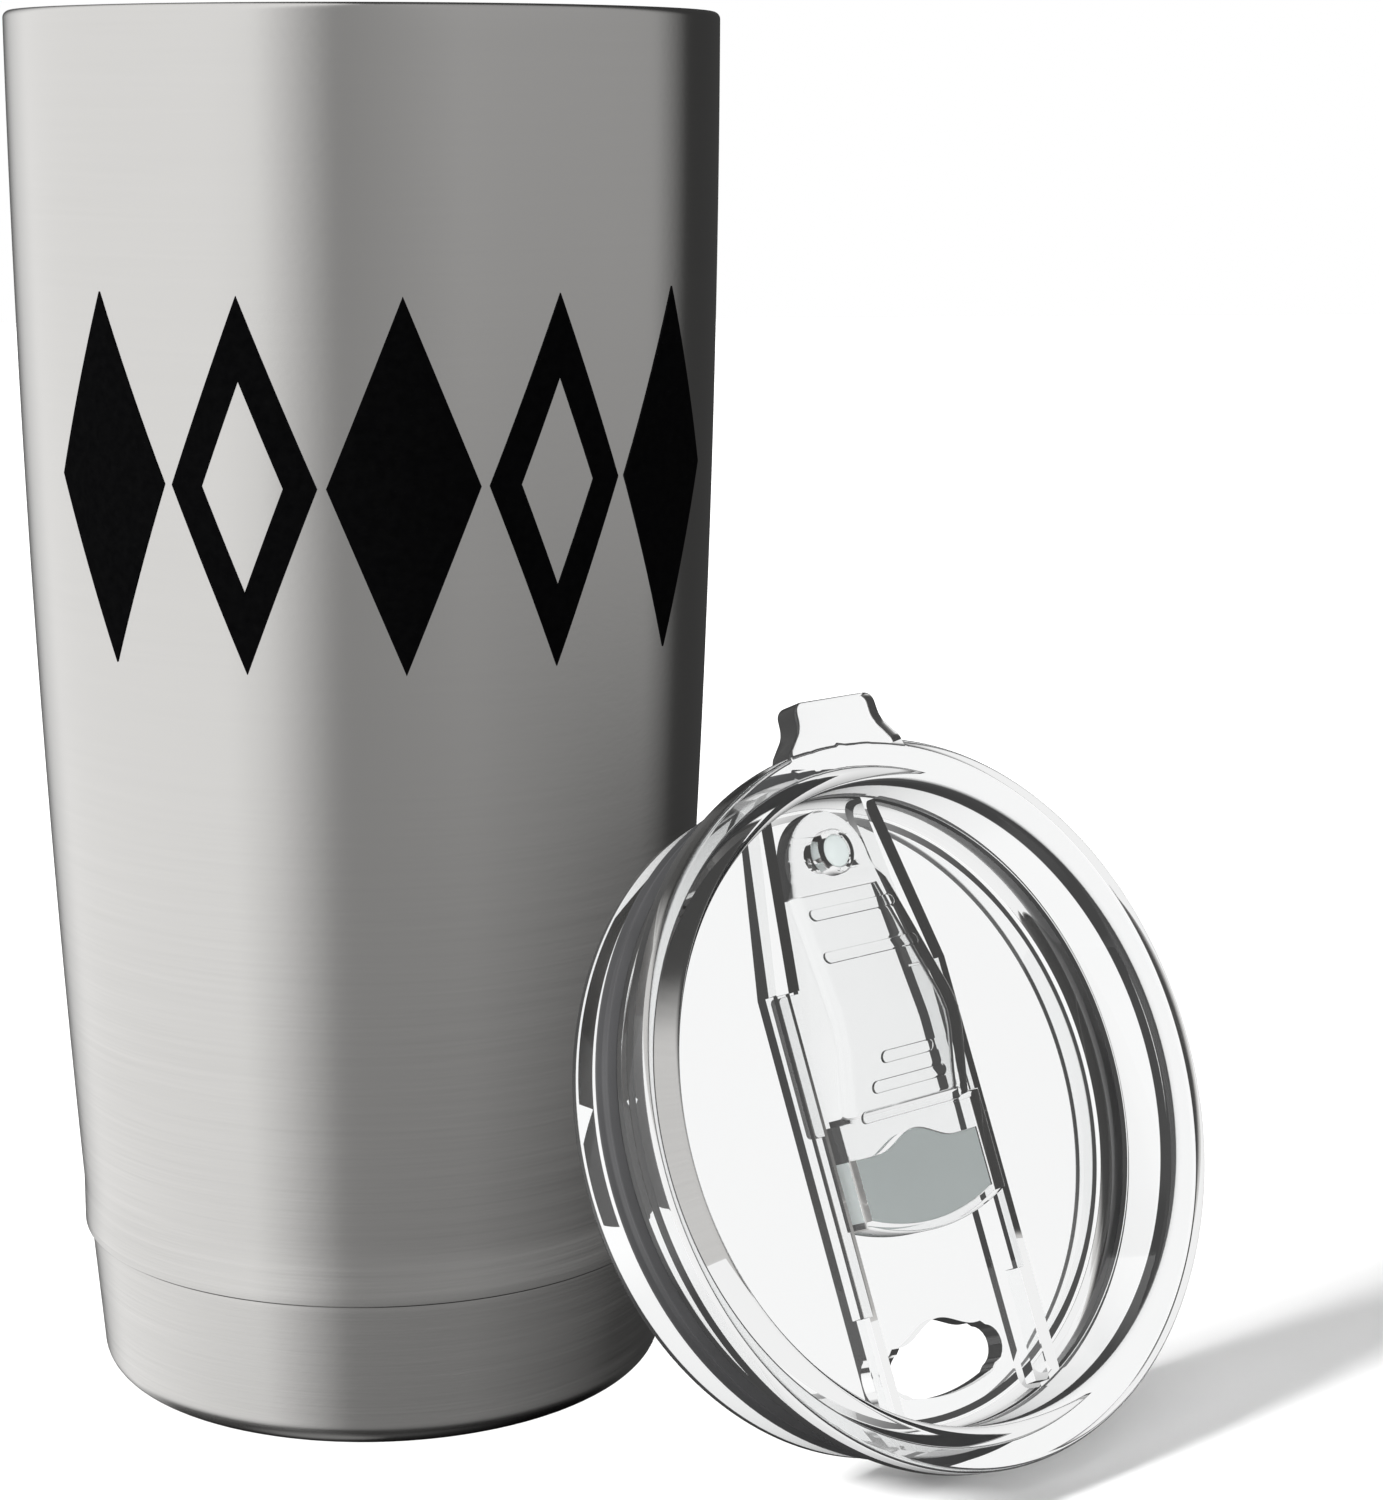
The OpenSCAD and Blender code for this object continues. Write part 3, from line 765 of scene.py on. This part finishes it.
@dataclass
class Lid:
    """The clear lid and its sealing ring. Millimetres, z = 0 on the seat, +Y towards the thumb tab."""

    frame: Frame
    flange_r: float = 44.8
    flange: float = 4.2
    plug_r: float = 41.6
    plug_h: float = 15.4
    dish_r: float = 39.3
    floor_z: float = -8.0
    floor: float = 2.6
    edge: float = 0.7
    dish_edge: float = 1.4
    corner: float = 1.6
    ring_low: float = -9.7
    ring_h: float = 3.8
    ring_bore: float = 40.1
    ring_r: float = 42.6
    lip: float = 0.9
    channel: float = 12.3
    rail: float = 14.4
    rail_end: float = 9.7
    rail_top: float = -4.3
    ledge: float = 10.6
    ledge_end: float = 7.6
    ledge_z: float = -6.8
    groove: float = 13.8
    groove_top: float = -5.3
    groove_low_y: float = -23.3
    groove_high_y: float = 16.6
    hole_half: float = 9.6
    hole_low: float = -35.4
    hole_high: float = -26.2
    hole_end_r: float = 2.6
    hole_bow_r: float = 26.0
    tab_out: float = 5.6
    body: str = "lid"

    def bowl(self) -> Piece:
        """The flange, the plug and the dish in one turned shape."""
        e, low = self.edge, -self.plug_h
        under = self.floor_z - self.floor
        ring_high = self.ring_low + self.ring_h
        profile = path(
            (0, under), (self.dish_r - self.corner, under), (self.dish_r, under - self.corner),
            (self.dish_r, low + 0.4), arc((self.dish_r + 0.4, low + 0.4), 0.4, 180, 270, 4)[1:],
            arc((self.plug_r - e, low + e), e, -90, 0, 6),
            (self.plug_r, self.ring_low - 0.1), (self.plug_r - 0.1, self.ring_low),
            (self.ring_bore, self.ring_low), (self.ring_bore, ring_high),
            (self.plug_r - 0.1, ring_high), (self.plug_r, ring_high + 0.1),
            (self.plug_r, -0.3), arc((self.plug_r + 0.3, -0.3), 0.3, 180, 90, 3)[1:],
            arc((self.flange_r - e, e), e, -90, 0, 6),
            arc((self.flange_r - e, self.flange - e), e, 0, 90, 6),
            arc((self.dish_r + self.dish_edge, self.flange - self.dish_edge), self.dish_edge, 90, 180, 8),
            arc((self.dish_r - self.corner, self.floor_z + self.corner), self.corner, 0, -90, 8),
            (0, self.floor_z),
        )
        return Piece("clear_lid", turned(profile), self.frame)

    def tab(self) -> Piece:
        """The thumb tab, which flares into the flange."""
        root, tip = self.flange_r - 3.0, self.flange_r + self.tab_out
        outline = rounded([
            (-10.3, root, 0), (10.3, root, 0), (9.3, self.flange_r - 0.4, 1.5), (6.9, self.flange_r + 2.2, 3),
            (6.7, tip, 1.5), (-6.7, tip, 1.5), (-6.9, self.flange_r + 2.2, 3), (-9.3, self.flange_r - 0.4, 1.5),
        ])
        return Piece("tab", slab(outline, 0.35, self.flange, 0.45), self.frame)

    def rails(self) -> list[Piece]:
        """The two rails, each with the ledge under its groove."""
        found = []
        reach = self.dish_r + 0.8
        for side in (-1, 1):
            outline = np.array([
                (self.ledge, -math.sqrt(reach**2 - self.ledge**2)), (self.rail, -math.sqrt(reach**2 - self.rail**2)),
                (self.rail, self.groove_high_y), (self.rail_end, math.sqrt(reach**2 - self.rail_end**2)),
                (self.ledge_end, math.sqrt(reach**2 - self.ledge_end**2)), (self.ledge, self.groove_high_y),
            ]) * [side, 1]
            found.append(Piece("rail", slab(outline, self.floor_z - 1, self.rail_top), self.frame))
        return found

    def channel_cuts(self) -> list[Piece]:
        """The slots that the slider's edges and wings run in."""
        length = self.dish_r - 2
        channel = np.array([(-self.channel, -length), (self.channel, -length),
                            (self.channel, self.groove_high_y), (-self.channel, self.groove_high_y)])
        groove = np.array([(-self.groove, self.groove_low_y), (self.groove, self.groove_low_y),
                           (self.groove, self.groove_high_y), (-self.groove, self.groove_high_y)])
        return [Piece("channel", slab(channel, self.ledge_z, self.rail_top + 1), self.frame),
                Piece("groove", slab(groove, self.ledge_z, self.groove_top), self.frame)]

    def hole(self) -> Piece:
        """The drinking hole: a bowed lower edge and a swell in the middle of its upper edge."""
        inner = self.hole_half - self.hole_end_r
        top = swell(np.linspace(inner, -inner, 41), self.hole_high)
        bottom = bowed(inner, self.hole_low, self.hole_bow_r, 21)
        middle = (self.hole_high - 2 + self.hole_low + 0.95) / 2
        left = arc((-inner, middle), self.hole_end_r, 90, 270, 12)
        right = arc((inner, middle), self.hole_end_r, -90, 90, 12)
        outline = path(top, left[1:-1], bottom, right[1:-1])
        return Piece("hole", slab(outline, self.floor_z - self.floor - 1, self.floor_z + 1), self.frame)

    def ring(self) -> Piece:
        """The sealing ring with its two lips."""
        low, high, lip, gap = self.ring_low + 0.03, self.ring_low + self.ring_h - 0.03, self.lip, 0.03
        waist = self.plug_r + 0.3
        profile = rounded([
            (self.ring_bore + gap, low, 0.2), (self.plug_r, low, 0.3), (self.ring_r, low + lip * 0.85, 0.22),
            (waist, low + 1.5 * lip, 0.3), (waist, high - 1.5 * lip, 0.3), (self.ring_r, high - lip * 0.85, 0.22),
            (self.plug_r, high, 0.3), (self.ring_bore + gap, high, 0.2),
        ], 4)
        return Piece("sealing_ring", turned(profile), self.frame)

    def build(self) -> None:
        """Builds and dresses the lid."""
        lid = self.bowl()
        lid.combine([self.tab(), *self.rails()], cut=False)
        lid.combine([*self.channel_cuts(), self.hole()], cut=True)
        lid.finish(Look.CLEAR_PLASTIC.material(), self.body, "clear_plastic", "lid_body")
        self.ring().finish(Look.DARK_SILICONE.material(), self.body, "dark_silicone", "lid_gasket")


@dataclass
class Slider:
    """The slider that covers the drinking hole. Millimetres, in the lid's axes."""

    frame: Frame
    low: float = -6.5
    wing_top: float = -5.6
    holder_top: float = -2.2
    crest_y: float = 10.0
    crest_z: float = 0.9
    slope_high_y: float = 29.0
    slope_high_z: float = -3.9
    deck: float = -4.3
    low_y: float = -1.2
    grip_r: float = 10.5
    holder_r: float = 12.0
    wing_r: float = 13.5
    wing_l: float = 17.5
    end_r: float = 7.0
    end_y: float = 30.9
    boss_y: float = 32.3
    boss_r: float = 2.9
    boss_top: float = -2.65
    peg_r: float = 2.15
    wall: float = 1.5
    pad_high: float = -2.9
    pad_low: float = -14.3
    pad_r: float = 10.3
    pad_top: float = -3.2
    pad_under: float = -7.8
    pad_rise: float = 2.0
    holder_low: float = -15.5
    holder_rise: float = 2.5
    rib_r: float = 0.75
    body: str = "slider"
    ribs: tuple[tuple[float, float], ...] = ((25, 7.1), (19.5, 7.9), (6.2, 4.4), (2.9, 6.3), (-0.3, 8.5))

    def half_width(self, y: Array, inward: float) -> Array:
        """Half the grip's width along it: straight, drawn in along the upper slope, and round at the end."""
        r = self.grip_r - inward
        straight = np.interp(y, [self.low_y, self.crest_y, self.slope_high_y - 1, self.end_y],
                             [r, r, r - 2.1, self.end_r - inward])
        round_end = np.sqrt(np.maximum((self.end_r - inward) ** 2 - np.maximum(y - self.end_y, 0) ** 2, 1e-6))
        return np.minimum(straight, np.where(y > self.end_y, round_end, straight))

    def top(self, y: Array) -> Array:
        """Height of the grip's top along it: two slopes that meet at a softened crest, then the deck."""
        z = np.interp(y, [self.low_y, self.crest_y, self.slope_high_y, self.slope_high_y + 0.9, 99],
                      [self.holder_top, self.crest_z, self.slope_high_z, self.deck, self.deck])
        return z - 0.35 * np.exp(-((y - self.crest_y) / 1.4) ** 2)

    def loft(self, name: str, inward: float, drop: float, low: float, start: float, end: float) -> Piece:
        """The grip's body: its cross-section, with rounded shoulders, carried along the slider.

        Args:
            name: The piece's name.
            inward: How far its sides lie inside the grip's.
            drop: How far its top lies under the grip's.
            low: Height of its underside.
            start: Where it starts along the slider.
            end: Where it ends.

        Returns:
            The piece.
        """
        y = np.unique(np.concatenate([np.linspace(start, end, 60), end - (end - start) * 0.12 *
                                      (1 - np.cos(np.linspace(0, math.pi / 2, 12)))]))
        rows = []
        for place in y:
            half = float(self.half_width(np.array(place), inward))
            top = float(self.top(np.array(place))) - drop
            r = min(1.1, half * 0.6, (top - low) * 0.5)
            section = path(
                (half, low), arc((half - r, top - r), r, 0, 90, 5),
                arc((r - half, top - r), r, 90, 180, 5), (-half, low),
            )
            rows.append(np.column_stack([section[:, 0], np.full(len(section), place), section[:, 1]]))
        return Piece(name, Surface(np.stack(rows), capped=True), self.frame)

    def pad_outline(self, gap: float) -> Array:
        """The pad's outline, drawn in by a gap: the swell above and a bow below."""
        half = self.pad_r - gap
        low = bowed(half, self.pad_low + gap, bow_radius(half, self.pad_rise), 31)
        return path(swell(np.linspace(half, -half, 49), self.pad_high - gap), low)

    def holder(self) -> Piece:
        """The frame round the pad, with a bowed lower edge."""
        r = self.holder_r
        low = bowed(r, self.holder_low, bow_radius(r, self.holder_rise), 31)
        outline = path(low, (r, self.low_y + 0.8), (-r, self.low_y + 0.8))
        return Piece("holder", slab(outline, self.low, self.holder_top, 0.35), self.frame)

    def wings(self) -> Piece:
        """The plate whose edges run in the rails' grooves."""
        y0, y1, r = self.low_y, self.low_y + self.wing_l, self.wing_r
        outline = rounded([(-r, y0, 0.6), (r, y0, 0.6), (r, y1, 0.6), (-r, y1, 0.6)], 4)
        return Piece("wings", slab(outline, self.low, self.wing_top, 0.12), self.frame)

    def rib(self, place: float, half: float) -> Piece:
        """One raised rib across the grip, laid on its slope."""
        r = self.rib_r
        outline = path(arc((half - r, 0), r, -90, 90, 10), arc((r - half, 0), r, 90, 270, 10))
        flat = slab(outline, -0.8, 0.35, 0.16)
        y = flat.points[..., 1] + place
        slope = (self.top(y + 0.01) - self.top(y - 0.01)) / 0.02
        flat.points[..., 2] += self.top(np.full_like(y, place)) + slope * (y - place)
        flat.points[..., 1] = y
        return Piece("rib", flat, self.frame)

    def disc(self, name: str, radius: float, low: float, high: float, edge: float) -> Piece:
        """A round piece on the boss's axis."""
        return Piece(name, slab(arc((0, self.boss_y), radius, 0, 360, 48)[:-1], low, high, edge), self.frame)

    def build(self) -> None:
        """Builds and dresses the slider."""
        end = self.end_y + self.end_r - 0.02
        grip = self.loft("clear_slider", 0, 0, self.low, self.low_y, end)
        grip.combine([self.holder(), self.wings(), self.disc("boss", self.boss_r, self.low, self.boss_top, 0.3),
                      *[self.rib(*rib) for rib in self.ribs]], cut=False)
        hollow = self.loft("hollow", self.wall, self.wall, self.low - 2, self.low_y + self.wall,
                           self.slope_high_y - self.wall)
        pocket = Piece("pocket", slab(self.pad_outline(0), self.low - 1, self.pad_top), self.frame)
        grip.combine([hollow, pocket, self.disc("bore", self.peg_r, self.low - 1, 3, 0)], cut=True)
        grip.finish(Look.CLEAR_PLASTIC.material(), self.body, "clear_plastic", "slider")
        pad = Piece("slider_pad", slab(self.pad_outline(0.04), self.pad_under, self.pad_top - 0.04, 0.3), self.frame)
        pad.finish(Look.GREY_SILICONE.material(), self.body, "grey_silicone", "slider_seal")
        peg = self.disc("slider_peg", self.peg_r - 0.03, self.low - 0.5, self.boss_top - 0.1, 0.25)
        peg.finish(Look.GREY_SILICONE.material(), self.body, "grey_silicone", "slider_plug")


# --------------------------------------
# The studio
# --------------------------------------


@dataclass
class Studio:
    """A pale floor, soft light that differs by direction and kind of ray, a key light, and the camera."""

    camera_place: tuple[float, float, float] = (0.0, -0.4077, 0.1646)
    yaw: float = 4.64
    pitch: float = -10.78
    lens: float = 76.22
    shift: tuple[float, float] = (0.0423, -0.0313)
    sensor: float = 36.0
    under_ring: tuple[tuple[float, float], ...] = ((0.0, 0.3), (0.06, 0.25), (0.13, 0.05), (0.3, 0.05), (0.45, 1.0))
    fill: float = 0.8
    slow_rise: tuple[float, float] = (-0.42, -0.05)
    quick_rise: tuple[float, float] = (-0.29, -0.215)
    right_turn: tuple[float, float] = (0.62, 0.73)
    ceiling: tuple[float, float] = (0.1, 0.3)
    ceiling_light: float = 0.08
    trapped_span: tuple[float, float] = (-0.1, 0.4)
    trapped_light: tuple[float, float] = (0.9, 0.06)
    floor_half: float = 2000.0
    floor_z: float = -0.02
    clip: tuple[float, float] = (0.01, 50.0)
    key_aim: tuple[float, float, float] = (0.85, 0.3, -0.62)
    key_spread: float = 16.0
    shaded: tuple[str, ...] = ("clear_lid", "sealing_ring", "clear_slider", "slider_pad", "slider_peg")
    key_power: float = 6.5
    high_ring: tuple[tuple[float, float], ...] = (
        (-180, 0.0), (-165, 0.1), (-150, 0.75), (-135, 1.1), (-35, 1.1), (-10, 0.35), (30, 0.5), (105, 0.45),
        (125, 0.05), (180, 0.05),
    )
    low_ring: tuple[tuple[float, float], ...] = (
        (-180, 0.0), (-165, 0.1), (-150, 0.75), (-135, 1.1), (-50, 1.1), (-15, 0.35), (35, 0.3), (80, 0.15),
        (110, 0.05), (180, 0.05),
    )

    def camera(self) -> None:
        """The camera: yaw to the right of +Y, pitch above the horizon."""
        yaw, pitch = math.radians(self.yaw), math.radians(self.pitch)
        ahead = np.array([math.sin(yaw) * math.cos(pitch), math.cos(yaw) * math.cos(pitch), math.sin(pitch)])
        right = np.array([math.cos(yaw), -math.sin(yaw), 0])
        up = np.cross(right, ahead)
        data = bpy.data.cameras.new("camera")
        data.sensor_width = self.sensor
        data.lens = self.lens
        data.shift_x, data.shift_y = self.shift
        data.clip_start, data.clip_end = self.clip
        camera = bpy.data.objects.new("camera", data)
        matrix = np.eye(4)
        matrix[:3, :3] = np.column_stack([right, up, -ahead])
        matrix[:3, 3] = self.camera_place
        camera.matrix_world = Matrix(matrix.tolist())
        bpy.context.scene.collection.objects.link(camera)
        bpy.context.scene.camera = camera

    def floor(self) -> None:
        """A wide pale floor."""
        half, z = self.floor_half, self.floor_z
        outline = np.array([(-half, -half), (half, -half), (half, half), (-half, half)])
        piece = Piece("floor", slab(outline, z - 1, z))
        material = bpy.data.materials.new("floor")
        material.use_nodes = True
        tree = Tree(material.node_tree)
        grain = tree.noise(tree.stretched((40, 40, 40)), 1.0)
        colour = tree.blend(grain, (0.72, 0.72, 0.72), (0.74, 0.74, 0.74))
        shader = tree.node("ShaderNodeBsdfDiffuse", {}, {"Color": colour})
        tree.node("ShaderNodeOutputMaterial", {}, {"Surface": shader})
        piece.object.data.materials.append(material)
        piece.object.visible_glossy = False
        piece.object.visible_transmission = False

    def world(self) -> None:
        """Soft light all round, as brightness by direction, and plain white for what is seen directly.

        Steel mirrors a bright left, a dim front and a dark right. Clear plastic looks out on white up to the
        height of a dark ceiling, and light that is trapped in it leaves bright to the left and dark to the right.
        """
        world = bpy.data.worlds.new("studio")
        bpy.context.scene.world = world
        world.use_nodes = True
        tree = Tree(world.node_tree)
        ray = tree.node("ShaderNodeTexCoord", out="Generated")
        x, y, z = (tree.node("ShaderNodeSeparateXYZ", {}, {0: ray}, out=i) for i in range(3))
        around = x.maths("ARCTAN2", y * -1.0) * (0.5 / math.pi) + 0.5
        rings = [
            tree.node("ShaderNodeValToRGB", {"stops": [((a / 180 + 1) / 2, grey) for a, grey in ring]}, {0: around})
            for ring in (self.low_ring, self.high_ring)
        ]
        slow, quick = tree.ramp(z, self.slow_rise), tree.ramp(z, self.quick_rise)
        right = tree.ramp(around, self.right_turn)
        level = quick * right + slow * (1 - right)
        steel = tree.node("ShaderNodeMix", {"data_type": "RGBA"}, {0: level, 6: rings[0], 7: rings[1]}, out=2)
        under = tree.node("ShaderNodeValToRGB", {"stops": self.under_ring}, {0: z + 1})
        outlook = tree.ramp(z, self.ceiling, 1.0, self.ceiling_light)
        rays = {name: tree.node("ShaderNodeLightPath", out=name)
                for name in ("Is Camera Ray", "Diffuse Depth", "Transmission Depth", "Is Transmission Ray")}
        for name in ("Diffuse Depth", "Transmission Depth"):
            rays[name] = rays[name].maths("MINIMUM", 1.0)
        trapped = tree.ramp(x, self.trapped_span, *self.trapped_light)
        light = tree.node("ShaderNodeBackground", {}, {"Color": steel, "Strength": under})
        for name, strength in (
            ("Transmission Depth", trapped), ("Is Transmission Ray", outlook), ("Diffuse Depth", self.fill),
            ("Is Camera Ray", 1.0),
        ):
            other = tree.node("ShaderNodeBackground", {}, {"Color": WHITE, "Strength": strength})
            light = tree.node("ShaderNodeMixShader", {}, {0: rays[name], 1: light, 2: other})
        tree.node("ShaderNodeOutputWorld", {}, {"Surface": light})

    def key(self) -> None:
        """A soft distant light from the upper left that steel doesn't mirror. Only the lid's pieces block it."""
        data = bpy.data.lights.new("key", "SUN")
        data.angle, data.energy = math.radians(self.key_spread), self.key_power
        lamp = bpy.data.objects.new("key", data)
        lamp.rotation_euler = Vector(self.key_aim).to_track_quat("-Z", "Y").to_euler()
        lamp.visible_glossy = False
        bpy.context.scene.collection.objects.link(lamp)
        blockers = bpy.data.collections.new("key_blockers")
        for name in self.shaded:
            blockers.objects.link(bpy.data.objects[name])
        lamp.light_linking.blocker_collection = blockers

    def build(self) -> None:
        """Sets up the whole studio."""
        self.camera()
        self.floor()
        self.world()
        self.key()
        bpy.context.scene.view_settings.view_transform = "Standard"


# --------------------------------------


def dress_hidden_nodes(nodes: dict[str, bpy.types.Object]) -> None:
    """Gives the CAD nodes sealed in the vacuum their finishes.

    Args:
        nodes: The frame's CAD nodes by name.
    """
    looks = {
        "vacuum_end_plate": Look.INNER_STEEL, "vacuum_seal": Look.SOLDER, "getter": Look.GETTER_ALLOY,
        "getter_clip": Look.INNER_STEEL, "reflective_foil": Look.COPPER_FOIL,
    }
    for name, look in looks.items():
        mesh = nodes[name].data
        mesh.materials.clear()
        mesh.materials.append(look.material())
        log.info("%s: dressed", name)


def lid_frame(record: dict[str, Any]) -> Frame:
    """The lid's own axes: its directions are the joints', and its sealing ring is centred under its seat.

    Args:
        record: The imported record.

    Returns:
        The frame: origin on the seat, rows along its side, its thumb tab and its face.
    """
    axes = {joint["name"]: np.array(joint["axis"], float) for joint in record["behaviour"]["joints"]}
    face, up = axes["lid_lift"], -axes["slider_slide"]
    ring = np.mean(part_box("lid_gasket"), axis=0)
    return Frame(ring + RING_DEPTH * MM * face, np.stack([np.cross(up, face), up, face]))


def main() -> None:
    """Builds the model on the frame, then the studio."""
    logging.basicConfig(level=logging.INFO)
    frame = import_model()
    Tumbler().build()
    stand = lid_frame(frame["record"])
    Lid(stand).build()
    Slider(stand).build()
    dress_hidden_nodes(frame["nodes"])
    Studio().build()


if __name__ == "__main__":
    main()
